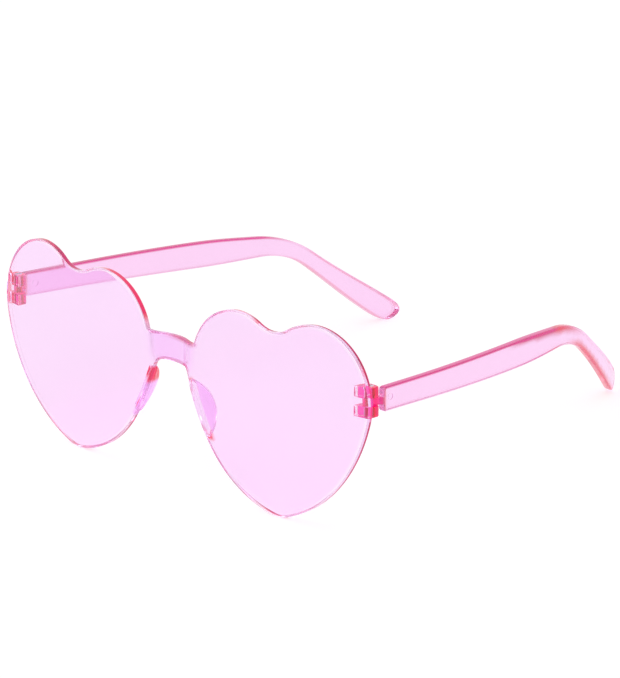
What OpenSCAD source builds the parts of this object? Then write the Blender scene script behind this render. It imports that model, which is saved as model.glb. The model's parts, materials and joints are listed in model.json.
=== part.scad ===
// Heart shaped sunglasses, all sizes in millimetres, +Z up.
// The front is one moulding: two dished heart lenses, the bridge set back between them, two nose pads and
// the hinge ears. Each temple is one moulding that turns on a small screw through the ears.
// The glasses stand open on the tips of the hearts and on the tips of the temples.

/* [Lenses] */
// Distance between the middles of the two hearts
heart_pitch = 83.2; // [81:0.1:88]
// Thickness of the lenses
lens_t = 2.2; // [2.1:0.1:2.6]
// Radius of the front surface of each lens
base_curve_r = 264; // [230:1:400]
// How far each lens bulges forward of the middle of the bridge line
lens_forward = 1.2; // [0.6:0.1:2]
// Distance of the foremost point of a lens from the heart's middle, towards the nose
vertex_in = 15.9; // [10:0.1:21]

/* [Heart outline] */
// Radius of the two round lobes
lobe_r = 18.75; // [17.5:0.05:19.5]
// Sideways distance of the outer lobe from the heart's middle
outer_lobe_x = 14.75; // [13.8:0.05:15.5]
// Height of the outer lobe's middle
outer_lobe_z = 7.5; // [6:0.1:9]
// Sideways distance of the inner lobe from the heart's middle
inner_lobe_x = 14; // [13:0.05:14.8]
// Height of the inner lobe's middle
inner_lobe_z = 5.75; // [5:0.05:8]
// Radius of the rounded tip
tip_r = 11; // [8:0.1:13]
// Depth of the tip's middle under the heart's middle
tip_drop = 18.25; // [16:0.05:21]
// Radius of the long arc down the outer side
outer_side_r = 45.25; // [40:0.25:70]
// Radius of the long arc down the nasal side
inner_side_r = 36.75; // [34:0.25:60]
// Radius in the cleft between the lobes
cleft_r = 11.5; // [8:0.1:14]

/* [Bridge] */
// How far the swing of the bridge runs on behind each lens, from the lens's nasal edge
bridge_lap = 0.35; // [0.1:0.05:1]
// How far the middle of the bridge sits behind its ends
bridge_set_back = 1.9; // [1:0.1:2.6]
// Height of the bridge
bridge_h = 7.4; // [6:0.1:9]
// Level of the top edge of the bridge
bridge_top_z = 11.5; // [10.5:0.1:12.5]
// Thickness of the bridge
bridge_t = 1.7; // [1.5:0.1:1.8]
// How far the ends of the bridge are sunk behind the front faces of the lenses
bridge_sink = 0.06; // [0.05:0.01:0.08]
// Radius under the bridge, where it runs into the nasal edges
bridge_fillet_r = 3; // [2:0.1:4]
// Radius of the flatter rail that the nasal edge follows beside the nose
rail_r = 60; // [50:1:90]
// Depth under the heart's middle at which the rail leaves the heart
rail_drop = 15; // [13:0.5:16]

/* [Nose pads] */
// Length of a pad along the nasal edge
pad_len = 14.5; // [12:0.5:16]
// Depth of the middle of a pad under the heart's middle
pad_drop = 6; // [5.5:0.1:7.5]
// How far a pad reaches behind the lens
pad_depth = 3.9; // [3:0.1:5.5]
// Thickness of a pad
pad_t = 1.7; // [1.2:0.1:2.4]
// How far a pad leans away from the nose at its rear edge
pad_lean = 1.7; // [0.5:0.1:2.2]

/* [Hinges] */
// Distance of a hinge screw inside the outermost edge of the front
pin_in = 3.1; // [2.8:0.1:4]
// Distance of a hinge screw behind the mid line of the front
pin_y = 7; // [6.9:0.1:8]
// Level of the middle of the hinge
hinge_z = 8.6; // [7.5:0.1:9.5]
// Height of one ear
ear_h = 3; // [2:0.1:3.4]
// Height of the knuckle between the ears
knuckle_h = 2; // [1.6:0.1:2.4]
// Gap over and under the knuckle
knuckle_gap = 0.1; // [0.05:0.01:0.2]
// Radius of the knuckle
knuckle_r = 1.4; // [1.2:0.05:1.5]
// Reach of an ear from the screw to the inside, at its root
ear_in = 2.85; // [2.3:0.05:3]
// Length of the slant that clears the folding arm, along the ear's rear
ear_slant = 1.95; // [1.8:0.05:2.1]
// Reach of an ear from the screw to the outside
ear_out = 2.4; // [2:0.05:2.5]
// Reach of an ear behind the screw
ear_back = 1.5; // [1.4:0.05:1.7]
// Depth of the slant in the ear's rear corner
ear_slant_d = 1.3; // [1.2:0.05:1.4]
// Radius of the outer rear corner of an ear
ear_corner_r = 1.2; // [0.9:0.05:1.4]
// Distance of the front end of a temple behind the screw
end_reach = 2.45; // [2.4:0.05:2.8]

/* [Screws] */
// Diameter of the screw shank
screw_d = 1.3; // [1:0.05:1.4]
// Diameter of the screw head
head_d = 2.1; // [1.8:0.05:2.2]
// Height of the screw head, sunk in the upper ear
head_h = 0.6; // [0.4:0.05:0.8]
// Width of the slot in the head
slot_w = 0.4; // [0.25:0.05:0.5]
// Depth of the slot in the head
slot_depth = 0.3; // [0.2:0.05:0.35]
// Gap around the screw in the ears
ear_fit = 0.02; // [0.01:0.01:0.04]
// Gap around the screw in the knuckle
knuckle_fit = 0.05; // [0.03:0.01:0.08]

/* [Temples] */
// Distance of the middle of a temple's thickness outside the screw, at its front end
temple_out = 1.6; // [1.3:0.1:1.9]
// Level of the middle of a temple at its front end
temple_z = 8.8; // [8:0.1:9.6]
// Thickness of a temple
temple_t = 2.5; // [2.2:0.1:2.8]
// Length of the flat arm before the bend
arm_len = 74.2; // [66:0.2:80]
// Radius of the bend over the ear
bend_r = 23.5; // [22:0.5:34]
// Slope of the ear piece behind the bend, in degrees
ear_slope = 40; // [34:0.2:44]
// Slope of the arm, in degrees
arm_slope = 0.7; // [0:0.1:2]
// Length of the ear piece behind the bend
ear_piece_len = 24; // [18:0.1:26]
// Height of the arm at its front end
arm_h_front = 6.7; // [6:0.1:7]
// Height of the arm where it is widest
arm_h_wide = 7.4; // [7:0.1:8]
// Height at the narrow end of the bend
neck_h = 4.6; // [4.2:0.1:5.6]
// Height at the flared tip
flare_h = 6.4; // [5.8:0.1:7.4]
// Length of the rounded end of the tip
tip_len = 4.5; // [4:0.1:6]
// Angle at which an arm leans in behind the hinge, in degrees
toe_in = 5.4; // [4.5:0.1:6.5]
// Length of the flat run behind the hinge
flat_run = 13.5; // [10:0.5:22]
// Radius of the inward sweep of the arm
sweep_r = 344; // [280:1:400]
// Length of the inward sweep of the arm
sweep_run = 76; // [66:0.5:80]
// Radius of the inward sweep of the ear piece
wrap_r = 70; // [66:1:140]
// Diameter of the round mark that the mould leaves inside each arm
mark_d = 1.8; // [1.2:0.1:2.4]
// Depth of the round mark
mark_depth = 0.2; // [0.1:0.05:0.3]
// Distance of the round mark from the front end of the arm
mark_run = 3.4; // [2.6:0.1:6]

/* [Hidden] */
$fn = 72;
heart_fn = 96;
dish_fn = 480;
sweep_fn = 720;
wedge_share = 1.4;
arm_stations = 10;
bend_stations = 12;
ear_stations = 6;
tip_stations = 12;
tip_power = 0.75;
widest_share = 0.75;

// Arcs that run into each other cross by this much, so that the outline has no hair thin steps.
blend = 0.01;

// Angles by which the rings of the bridge run over each other and into the lenses.
band_lap = 1;
band_root = 7;

heart_x = heart_pitch / 2;
vertex_x = heart_x - vertex_in;
bridge_half_w = heart_x - inner_lobe_x - lobe_r + bridge_lap;
pin_x = heart_x + outer_lobe_x + lobe_r - pin_in;
temple_x = pin_x + temple_out;
outer_lobe = [outer_lobe_x, outer_lobe_z];
inner_lobe = [-inner_lobe_x, inner_lobe_z];
tip_mid = [0, -tip_drop];
outer_arm = outer_side_r + blend;
inner_arm = inner_side_r + blend;
cleft_arm = lobe_r + cleft_r - blend;
outer_side_mid = meet(outer_lobe, outer_arm - lobe_r, tip_mid, outer_arm - tip_r, -1);
inner_side_mid = meet(inner_lobe, inner_arm - lobe_r, tip_mid, inner_arm - tip_r, 1);
cleft_mid = meet(inner_lobe, cleft_arm, outer_lobe, cleft_arm, 1);

// Both faces of a lens are cut from balls with one middle.
back_r = base_curve_r - lens_t;
dish_y = base_curve_r - lens_forward;
prism_d = 4 * lobe_r;

// The bridge is a valley with a shoulder at each side, all three of the same radius.
shoulder_a = asin((vertex_x - bridge_half_w) / base_curve_r);
span_sq = bridge_half_w * bridge_half_w + bridge_set_back * bridge_set_back;
swing = bridge_set_back * (1 + cos(shoulder_a)) - bridge_half_w * sin(shoulder_a);
swing_r = span_sq / (swing + sqrt(swing * swing + 2 * span_sq * (1 - cos(shoulder_a))));
swing_a = asin((bridge_half_w / swing_r + sin(shoulder_a)) / 2);
bridge_end_y = front_y(bridge_half_w, bridge_top_z) + bridge_sink;
bridge_mid_y = bridge_end_y + bridge_set_back;
bridge_bottom_z = bridge_top_z - bridge_h;
bridge_root = 1.6 * bridge_t;

// Beside the nose the edge follows a flatter rail that leaves the heart's nasal arc low down.
rail_fall = rail_drop + inner_side_mid[1];
rail_foot = inner_side_mid - [sqrt(inner_side_r * inner_side_r - rail_fall * rail_fall), rail_fall];
rail_mid = rail_foot + (rail_r + 3 * blend) / inner_side_r * (inner_side_mid - rail_foot);
rail_top = bridge_bottom_z + bridge_t / 4;
fillet_z = bridge_bottom_z - bridge_fillet_r + blend;
fillet_reach = rail_r + bridge_fillet_r - blend;
fillet_rise = rail_mid[1] - fillet_z;
fillet_x = heart_x + rail_mid[0] - sqrt(fillet_reach * fillet_reach - fillet_rise * fillet_rise);

// A pad is a leaning strip of the nasal edge, cut to a crescent by a round that reaches pad_depth.
pad_round_r = (pad_len * pad_len / 4 + pad_depth * pad_depth) / (2 * pad_depth);
pad_fall = pad_drop + rail_mid[1];
pad_x = heart_x + rail_mid[0] - sqrt(rail_r * rail_r - pad_fall * pad_fall);
pad_y = back_y(pad_x, -pad_drop);
pad_root = lens_t / 2;
pad_inset = pad_t / 40;

slot_h = knuckle_h + 2 * knuckle_gap;
hinge_top_z = hinge_z + slot_h / 2 + ear_h;
hinge_bottom_z = hinge_z - slot_h / 2 - ear_h;
ear_root_y = back_y(pin_x, hinge_z) - lens_t / 2;
temple_y = pin_y + end_reach;

// Plan of a temple: a flat run, a long sweep and a tighter wrap, each tangent to the one before.
sweep_y = temple_y + flat_run;
wrap_y = sweep_y + sweep_run;
sweep_x = temple_x - flat_run * tan(toe_in);
sweep_mid = [sweep_x - sweep_r * cos(toe_in), sweep_y - sweep_r * sin(toe_in)];
wrap_a = asin((wrap_y - sweep_mid[1]) / sweep_r);
wrap_x = sweep_mid[0] + sweep_r * cos(wrap_a);
wrap_mid = [wrap_x - wrap_r * cos(wrap_a), wrap_y - wrap_r * sin(wrap_a)];

// Side of a temple: the middle line runs straight, bends down over the ear and runs straight again.
bend_len = bend_r * (ear_slope - arm_slope) * PI / 180;
ear_start = arm_len + bend_len;
temple_len = ear_start + ear_piece_len;
arm_side = [
    for (i = [0:arm_stations]) station(i * arm_len / arm_stations)
];
bend_side = [
    for (i = [1:bend_stations]) station(arm_len + i * bend_len / bend_stations)
];
ear_side = [
    for (i = [1:ear_stations]) station(ear_start + i * ear_piece_len / ear_stations)
];
sides = concat(arm_side, bend_side, ear_side);
tip_side = [
    for (i = [1:tip_stations - 1]) tip_point(90 - 180 * i / tip_stations)
];
temple_outline = concat(
    [for (s = sides) s[0] + s[2] * s[1]],
    tip_side,
    [for (i = [len(sides) - 1:-1:0]) sides[i][0] - sides[i][2] * sides[i][1]]
);

// Standing pose: the lowest line from the hearts to the temple tips is laid level.
heart_bottom = [back_y(heart_x, -tip_drop - tip_r), -tip_drop - tip_r];
pitch = min([
    for (p = tip_side) atan2(p[1] - heart_bottom[1], p[0] - heart_bottom[0])
]);
lift = heart_bottom[0] * sin(pitch) - heart_bottom[1] * cos(pitch);
rear_y = max([for (p = temple_outline) p[0] * cos(pitch) + p[1] * sin(pitch)]);
fore_y = min([
    for (a = [180:10:360])
        let (
            x = heart_x + tip_r * cos(a),
            z = -tip_drop + tip_r * sin(a)
        )
        front_y(x, z) * cos(pitch) + z * sin(pitch)
]);
shift_y = (rear_y + fore_y) / 2;

// Middle of a circle that is ra from a and rb from b, on the given side of the line from a to b.
function meet(a, ra, b, rb, side) =
    let (
        gap = norm(b - a),
        dir = (b - a) / gap,
        along = (gap * gap + ra * ra - rb * rb) / (2 * gap),
        across = sqrt(ra * ra - along * along)
    )
    a + along * dir + side * across * [-dir[1], dir[0]];

// Depth of a lens face at a place in front view.
function dish_at(x, z, r) =
    dish_y - sqrt(r * r - (x - vertex_x) * (x - vertex_x) - z * z);
function front_y(x, z) = dish_at(x, z, base_curve_r);
function back_y(x, z) = dish_at(x, z, back_r);

// Smooth step from one height to the next.
function ease(a, b, t) = a + (b - a) * t * t * (3 - 2 * t);
function half_height(s) =
    let (wide = widest_share * arm_len)
    (s < wide ? ease(arm_h_front, arm_h_wide, s / wide)
    : s < ear_start ? ease(arm_h_wide, neck_h, (s - wide) / (ear_start - wide))
    : ease(neck_h, flare_h, (s - ear_start) / ear_piece_len)) / 2;
function slope_at(s) =
    s < arm_len ? arm_slope
    : min(ear_slope, arm_slope + (s - arm_len) / bend_r * 180 / PI);
function bend_mid() =
    [
        temple_y + arm_len * cos(arm_slope) - bend_r * sin(arm_slope),
        temple_z - arm_len * sin(arm_slope) - bend_r * cos(arm_slope)
    ];
function middle(s) =
    s < arm_len ? [temple_y + s * cos(arm_slope), temple_z - s * sin(arm_slope)]
    : bend_mid() + bend_r * [sin(slope_at(s)), cos(slope_at(s))]
        + max(0, s - ear_start) * [cos(ear_slope), -sin(ear_slope)];
// A place on the middle line, its half height and the direction square to the line.
function station(s) = [middle(s), half_height(s), [sin(slope_at(s)), cos(slope_at(s))]];
function power(v) = sign(v) * pow(abs(v), tip_power);
function tip_point(a) =
    middle(temple_len)
    + tip_len * power(cos(a)) * [cos(ear_slope), -sin(ear_slope)]
    + flare_h / 2 * power(sin(a)) * [sin(ear_slope), cos(ear_slope)];

// The piece of a disc between two directions from its middle.
module sector(mid, r, from, to) {
    reach = wedge_share * r;
    intersection() {
        translate(mid) circle(r = r);
        polygon([mid, mid + reach * unit(from - mid), mid + reach * unit(to - mid)]);
    }
}
function unit(v) = v / norm(v);

module heart_outline() {
    translate(outer_lobe) circle(r = lobe_r, $fn = heart_fn);
    translate(inner_lobe) circle(r = lobe_r, $fn = heart_fn);
    translate(tip_mid) circle(r = tip_r, $fn = heart_fn);
    sector(outer_side_mid, outer_side_r, outer_lobe, tip_mid, $fn = 2 * heart_fn);
    sector(inner_side_mid, inner_side_r, inner_lobe, tip_mid, $fn = 2 * heart_fn);
    difference() {
        polygon([inner_lobe, tip_mid, outer_lobe, cleft_mid]);
        translate(cleft_mid) circle(r = cleft_r, $fn = heart_fn);
    }
    intersection() {
        translate(rail_mid) circle(r = rail_r, $fn = 4 * heart_fn);
        translate([-heart_x, -rail_drop]) square([heart_x, rail_top + rail_drop]);
    }
}

// Turns a front view into a prism that runs through the whole depth.
module through_depth() {
    rotate([90, 0, 0]) linear_extrude(height = prism_d, center = true) children();
}

// Turns a plan into a prism that runs through the whole height.
module through_height() {
    translate([0, 0, -prism_d / 2]) linear_extrude(height = prism_d) children();
}

// The ball that a lens face is cut from.
module ball(r) {
    translate([vertex_x, dish_y, 0]) sphere(r = r, $fn = dish_fn);
}

module lens() {
    difference() {
        intersection() {
            translate([heart_x, 0, 0]) through_depth() heart_outline();
            ball(base_curve_r);
        }
        ball(back_r);
    }
}

// The bridge in plan is one band of even thickness: a valley ring between two shoulder rings.
valley_mid = [0, bridge_mid_y - swing_r];
shoulder_mid = valley_mid + 2 * swing_r * [sin(swing_a), cos(swing_a)];

// The piece of a ring between two angles, measured at its middle from the rearward direction.
module band(mid, r_in, r_out, from, to) {
    reach = wedge_share * r_out;
    translate(mid) intersection() {
        difference() {
            circle(r = r_out, $fn = 2 * heart_fn);
            circle(r = r_in, $fn = 2 * heart_fn);
        }
        polygon([[0, 0], reach * [sin(from), cos(from)], reach * [sin(to), cos(to)]]);
    }
}

module shoulder() {
    band(
        shoulder_mid,
        swing_r - bridge_t,
        swing_r,
        180 + swing_a + band_lap,
        180 + shoulder_a - band_root
    );
}

module bridge_plan() {
    band(valley_mid, swing_r, swing_r + bridge_t, -swing_a - band_lap, swing_a + band_lap);
    shoulder();
    mirror([1, 0]) shoulder();
}

// Half of the bridge in front view, with the round that runs into the nasal edge.
module bridge_front() {
    fillet_at = [fillet_x, fillet_z];
    to_rail = unit([heart_x + rail_mid[0], rail_mid[1]] - fillet_at);
    in_rail = fillet_at + (bridge_fillet_r + bridge_t) * to_rail;
    translate([-bridge_root, bridge_bottom_z]) square([bridge_half_w + 3 * bridge_root, bridge_h]);
    difference() {
        polygon([
            [fillet_x, bridge_bottom_z + bridge_h / 2],
            fillet_at,
            in_rail,
            [in_rail[0], bridge_bottom_z + bridge_h / 2]
        ]);
        translate(fillet_at) circle(r = bridge_fillet_r);
    }
}

module bridge() {
    intersection() {
        through_height() bridge_plan();
        through_depth() {
            bridge_front();
            mirror([1, 0]) bridge_front();
        }
    }
}

module pad() {
    round_y = pad_y + pad_depth - pad_round_r;
    lean = pad_lean / pad_depth;
    face_r = rail_r - pad_inset;
    intersection() {
        translate([heart_x + rail_mid[0], pad_y, rail_mid[1]])
            rotate([-90, 0, 0])
                difference() {
                    translate([0, 0, -pad_root]) cylinder(
                        r1 = face_r,
                        r2 = face_r - pad_lean - lean * pad_root,
                        h = pad_depth + pad_root,
                        $fn = 4 * heart_fn
                    );
                    translate([0, 0, -2 * pad_root]) cylinder(
                        r1 = face_r - pad_t + lean * pad_root,
                        r2 = face_r - pad_t - pad_lean - 2 * lean * pad_root,
                        h = pad_depth + 3 * pad_root,
                        $fn = 4 * heart_fn
                    );
                }
        translate([0, round_y, -pad_drop]) rotate([0, 90, 0]) cylinder(r = pad_round_r, h = heart_x);
    }
}

// One ear in plan: its root in the lens, a slant that clears the folding arm and a round outer corner.
module ear_plan() {
    rear = pin_y + ear_back;
    out = pin_x + ear_out;
    inside = pin_x - ear_in;
    polygon([
        [inside, ear_root_y],
        [out, ear_root_y],
        [out, rear - ear_corner_r],
        [out - ear_corner_r, rear],
        [inside + ear_slant, rear],
        [inside, rear - ear_slant_d]
    ]);
    translate([out - ear_corner_r, rear - ear_corner_r]) circle(r = ear_corner_r);
}

module ears() {
    difference() {
        translate([0, 0, hinge_bottom_z])
            linear_extrude(height = hinge_top_z - hinge_bottom_z) ear_plan();
        translate([0, back_y(pin_x, hinge_z), hinge_z - slot_h / 2])
            cube([pin_x + 2 * ear_out, pin_y, slot_h]);
        translate([pin_x, pin_y, hinge_bottom_z - ear_h])
            cylinder(d = screw_d + 2 * ear_fit, h = 4 * ear_h + slot_h);
        translate([pin_x, pin_y, hinge_top_z - head_h - ear_fit])
            cylinder(d = head_d + 2 * ear_fit, h = ear_h);
    }
}

module half_front() {
    lens();
    pad();
    ears();
}

module front_moulding() {
    bridge();
    half_front();
    mirror([1, 0, 0]) half_front();
}

// The temple seen from above: everything inside its outer line, less everything inside its inner line.
toe_dir = [cos(toe_in), sin(toe_in)];
wrap_dir = [cos(wrap_a), sin(wrap_a)];

module inside_line(offset_x, run) {
    start = [temple_x, temple_y] + offset_x * toe_dir;
    turn = [sweep_x, sweep_y] + offset_x * toe_dir;
    ahead = run * [sin(toe_in), -cos(toe_in)];
    polygon([start + ahead, turn, wrap_mid, [0, temple_y - run]]);
    sector(
        sweep_mid,
        sweep_r + offset_x,
        sweep_mid + toe_dir,
        sweep_mid + wrap_dir,
        $fn = sweep_fn
    );
    translate(wrap_mid) circle(r = wrap_r + offset_x, $fn = 2 * heart_fn);
}

module temple_plan() {
    difference() {
        inside_line(temple_t / 2, 0);
        inside_line(-temple_t / 2, temple_t);
    }
}

module temple_side() {
    rotate([90, 0, 90]) linear_extrude(height = 2 * pin_x) polygon(temple_outline);
}

// The knuckle in plan: a round about the screw and a web that runs out to the arm.
module knuckle_plan() {
    translate([pin_x, pin_y]) circle(r = knuckle_r);
    polygon([
        [pin_x - knuckle_r, pin_y],
        [pin_x + knuckle_r, pin_y],
        [temple_x + temple_t / 2 * cos(toe_in), temple_y],
        [temple_x + temple_t / 4, temple_y + temple_t / 2],
        [temple_x - temple_t / 4, temple_y + temple_t / 2],
        [temple_x - temple_t / 2, temple_y]
    ]);
}

module temple() {
    mark_at = [temple_x, temple_y] + mark_run * [-sin(toe_in), cos(toe_in)] - temple_t / 2 * toe_dir;
    difference() {
        union() {
            intersection() {
                through_height() temple_plan();
                temple_side();
            }
            translate([0, 0, hinge_z - knuckle_h / 2]) linear_extrude(height = knuckle_h) knuckle_plan();
        }
        translate([pin_x, pin_y, hinge_z - knuckle_h])
            cylinder(d = screw_d + 2 * knuckle_fit, h = 2 * knuckle_h);
        translate([mark_at[0], mark_at[1], temple_z])
            rotate([0, 90, toe_in])
                translate([0, 0, -mark_d]) cylinder(d = mark_d, h = mark_d + mark_depth);
    }
}

module hinge_screw() {
    difference() {
        translate([pin_x, pin_y, 0]) {
            translate([0, 0, hinge_bottom_z])
                cylinder(d = screw_d, h = hinge_top_z - head_h - hinge_bottom_z);
            translate([0, 0, hinge_top_z - head_h]) cylinder(d = head_d, h = head_h);
        }
        translate([pin_x - slot_w / 2, pin_y - head_d, hinge_top_z - slot_depth])
            cube([slot_w, 2 * head_d, head_h]);
    }
}

// Lays the glasses down on the hearts and the temple tips, with the origin under their middle.
module standing() {
    translate([0, -shift_y, lift]) rotate([-pitch, 0, 0]) children();
}

module front() {
    color([1, 0.72, 0.95, 0.5]) standing() front_moulding();
}

module temple_right() {
    color([1, 0.66, 0.9, 0.5]) standing() temple();
}

module temple_left() {
    color([1, 0.66, 0.9, 0.5]) standing() mirror([1, 0, 0]) temple();
}

module hinge_screw_right() {
    color([0.72, 0.72, 0.74]) standing() hinge_screw();
}

module hinge_screw_left() {
    color([0.72, 0.72, 0.74]) standing() mirror([1, 0, 0]) hinge_screw();
}

front();
temple_right();
temple_left();
hinge_screw_right();
hinge_screw_left();
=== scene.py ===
"""Looks of a pair of heart shaped sunglasses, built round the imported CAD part.

All shapes are worked out in the front frame: x across, y back from the lenses, z up, with the
middle of the hearts at z = 0. The frame's own joints say how that frame stands on the floor.
"""

import json
import math

import bmesh
import bpy
import numpy as np
from bpy.props import FloatProperty, FloatVectorProperty, PointerProperty
from mathutils import Matrix, Vector
from mathutils.geometry import delaunay_2d_cdt
from mathutils.kdtree import KDTree


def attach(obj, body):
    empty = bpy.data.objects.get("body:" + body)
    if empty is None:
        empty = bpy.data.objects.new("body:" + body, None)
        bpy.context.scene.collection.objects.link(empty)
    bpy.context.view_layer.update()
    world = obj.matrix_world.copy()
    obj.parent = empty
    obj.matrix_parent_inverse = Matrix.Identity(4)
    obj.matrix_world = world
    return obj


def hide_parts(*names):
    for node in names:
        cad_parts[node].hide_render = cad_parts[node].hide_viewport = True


bl_info = {
    "name": "Heart shaped sunglasses",
    "version": (1, 0, 0),
    "blender": (4, 5, 0),
    "location": "3D View > Sidebar > Sunglasses",
    "description": "Builds heart shaped sunglasses of clear tinted plastic around a CAD frame",
    "category": "Add Mesh",
}

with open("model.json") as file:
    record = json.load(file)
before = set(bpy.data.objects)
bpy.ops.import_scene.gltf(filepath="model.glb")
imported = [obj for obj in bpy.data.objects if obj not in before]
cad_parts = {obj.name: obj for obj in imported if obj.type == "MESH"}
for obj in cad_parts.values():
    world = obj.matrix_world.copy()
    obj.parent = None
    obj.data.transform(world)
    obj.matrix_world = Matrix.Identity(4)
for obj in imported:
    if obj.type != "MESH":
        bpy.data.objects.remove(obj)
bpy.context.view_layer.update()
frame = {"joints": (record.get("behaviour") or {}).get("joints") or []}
PIXELS_HIGH = 678
MM = 0.001
SIDE_NAMES = {1: "right", -1: "left"}
CORNERS = ((-1, -1), (1, -1), (1, 1), (-1, 1))

# Distances between the places along an outline, and how many go round a circle and a tip.
OUTLINE_STEP = 0.5 * MM
CORNER_STEP = 0.25 * MM
SHOULDER_STEP = 0.1 * MM
FILLET_STEP = 0.3 * MM
SIDE_STEP = 0.7 * MM
TEMPLE_OUTLINE_STEP = 0.6 * MM
KNUCKLE_STEP = 0.2 * MM
SIDES = 48
TIP_STEPS = 36

# Distances between the places inside a face. The grid keeps clear of the edge by EDGE_CLEAR and
# by a share of its own step, and its rows are shifted in turn.
PLATE_STEP = 1.5 * MM
FINE_STEP = 0.6 * MM
FINE_REACH = 11.5 * MM
LEVEL_STEP = 0.8 * MM
ARM_STEP = 1.1 * MM
EDGE_CLEAR = 1.3 * MM
GRID_CLEAR = 0.3
GRID_SHIFTS = (0.31, 0.81)

# Reach of the soft steps between lens and bridge, and from the lobe to the rail beside it.
BLEND_BEFORE = 2.4 * MM
BLEND_BEHIND = 1.8 * MM
RAIL_BLEND = 2 * MM

# The flat part of a face starts this much further in than its worked edge.
BORDER_REACH = 1.12
# Share of the thickness over which the painted dark line in a rim begins: painted shade where light
# is trapped in the edge.
LINE_STEP = 0.05
ARM_ROUND_STEPS = 5
# The rear face falls off along a power curve towards its edge and ends in a small round, given
# as shares of the taper's reach and of the thickness.
TAPER_STEPS = 8
TAPER_POWER = 1.4
TAPER_CORNER_INSETS = (0.04, 0.01, 0)
TAPER_CORNER_FALLS = (0, 0.03, 0.09)

# A pad is made of sections, each with rows up both sides and places round its rear edge. The rows
# up the outer side lie a hair lower than those up the inner side.
PAD_STATIONS = 49
PAD_ROWS = 6
PAD_OUTER_ROWS = 6.001
PAD_AROUND = 12
PAD_END_SHARE = 0.8
PAD_ROUND_SHARE = 0.96
PAD_LEAST_ROUND = 0.05 * MM
PAD_FLARE_RUN = 1.2 * MM

# Small roundings of the ears in plan and of the screws' ends.
EAR_ROOT_ROUND = 0.3 * MM
SLANT_ROUND = 0.5 * MM
SCREW_ROUND = 0.12 * MM

# The plastic's own colour inside is faint. Its tint is painted on, and so is the light that gathers
# in its edges, bends and hinges, as painted glow and painted dark lines.
PLASTIC_IOR = 1.585
FRONT_TINT, FRONT_DENSITY = (0.95, 0.0, 0.9), 2.5
TEMPLE_TINT, TEMPLE_DENSITY = (0.92, 0.0, 0.78), 3
# Light that enters an edge runs through the plastic with many inner reflections.
GLASS_BOUNCES = 48

# The floor's own light, its half width, and its gap under the glasses, in metres.
FLOOR_GLOW = 0.24
FLOOR_REACH = 6.0
FLOOR_GAP = 0.0002


def length(name, description, default_mm):
    """A length that the panel shows, given in millimetres."""
    return FloatProperty(
        name=name, description=description, default=default_mm * MM, unit="LENGTH", precision=5
    )


def angle(name, description, degrees):
    """An angle that the panel shows, given in degrees."""
    return FloatProperty(
        name=name, description=description, default=math.radians(degrees), unit="ROTATION"
    )


def share(name, description, default):
    """A plain factor from 0 to 1."""
    return FloatProperty(
        name=name, description=description, default=default, min=0, max=1, subtype="FACTOR"
    )


def colour(name, description, default):
    """A colour in linear light."""
    return FloatVectorProperty(
        name=name, description=description, default=default, size=3, min=0, max=1, subtype="COLOR"
    )


class FrontSizes(bpy.types.PropertyGroup):
    """Sizes of the lenses and of the bridge between them."""

    heart_pitch: length("Heart pitch", "Distance between the middles of the hearts", 83.2)
    lens_t: length("Lens thickness", "Thickness of the lenses", 2.2)
    base_curve_r: length("Base curve", "Radius of the front face of a lens", 264)
    lens_forward: length("Lens forward", "Bulge of a lens before the bridge line", 1.2)
    vertex_x: length("Vertex", "Distance of a lens's foremost point from the mid plane", 25.7)
    lobe_r: length("Lobe radius", "Radius of the two round lobes", 18.75)
    outer_lobe_x: length("Outer lobe, sideways", "Outer lobe from the heart's middle", 14.75)
    outer_lobe_z: length("Outer lobe, height", "Outer lobe over the heart's middle", 7.5)
    inner_lobe_x: length("Inner lobe, sideways", "Inner lobe from the heart's middle", 14)
    inner_lobe_z: length("Inner lobe, height", "Inner lobe over the heart's middle", 5.75)
    tip_r: length("Tip radius", "Radius of the rounded tip", 11)
    tip_drop: length("Tip drop", "Tip's middle under the heart's middle", 18.25)
    outer_side_r: length("Outer side radius", "Long arc down the outer side", 45.25)
    inner_side_r: length("Nasal side radius", "Long arc down the nasal side", 36.75)
    cleft_r: length("Cleft radius", "Radius between the lobes", 11.5)
    rail_r: length("Rail radius", "Flatter nasal edge beside the nose", 60)
    rail_drop: length("Rail drop", "Depth at which the rail leaves the heart", 15)
    bridge_half_w: length("Bridge half width", "Half width over which the bridge swings", 9.2)
    bridge_set_back: length("Bridge set back", "Bridge middle behind its ends", 1.9)
    bridge_h: length("Bridge height", "Height of the bridge", 7.4)
    bridge_top_z: length("Bridge top", "Level of the top edge of the bridge", 11.5)
    bridge_t: length("Bridge thickness", "Thickness of the bridge", 1.7)
    bridge_sink: length("Bridge sink", "Bridge ends behind the lens faces", 0.06)
    bridge_fillet_r: length("Bridge round", "Radius under the bridge", 3)
    shoulder_round: length("Shoulder round", "Small radius where the bridge meets a lobe", 0.5)
    front_rim: length("Front rim", "Rounding of the front edge", 0.12)
    back_rim: length("Back rim", "How far in the rear face starts to taper", 1.0)
    back_rim_share: share("Back rim depth", "Share of the thickness it tapers by", 0.3)
    # The coloured line is painted shade: a dark line in the rim where light is trapped. These
    # shares set where it starts in the wall.
    line_share: share("Line start", "Share of the thickness before the coloured line", 0.36)
    line_share_far: share("Line start, wide", "The same where the line is wide", 0.08)
    root_share: share("Root depth", "Share of the lens that pads and ears are rooted in", 0.45)


class PadSizes(bpy.types.PropertyGroup):
    """Sizes of the nose pads moulded on the nasal edges."""

    pad_len: length("Pad length", "Length along the nasal edge", 14.5)
    pad_drop: length("Pad drop", "Pad's middle under the heart's middle", 6)
    pad_depth: length("Pad depth", "Reach behind the lens", 3.9)
    pad_t: length("Pad thickness", "Thickness of a pad", 1.7)
    pad_lean: length("Pad lean", "Lean away from the nose at the rear edge", 1.7)
    pad_flare: length("Pad flare", "Extra thickness where a pad grows out of the lens", 0.6)


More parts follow.
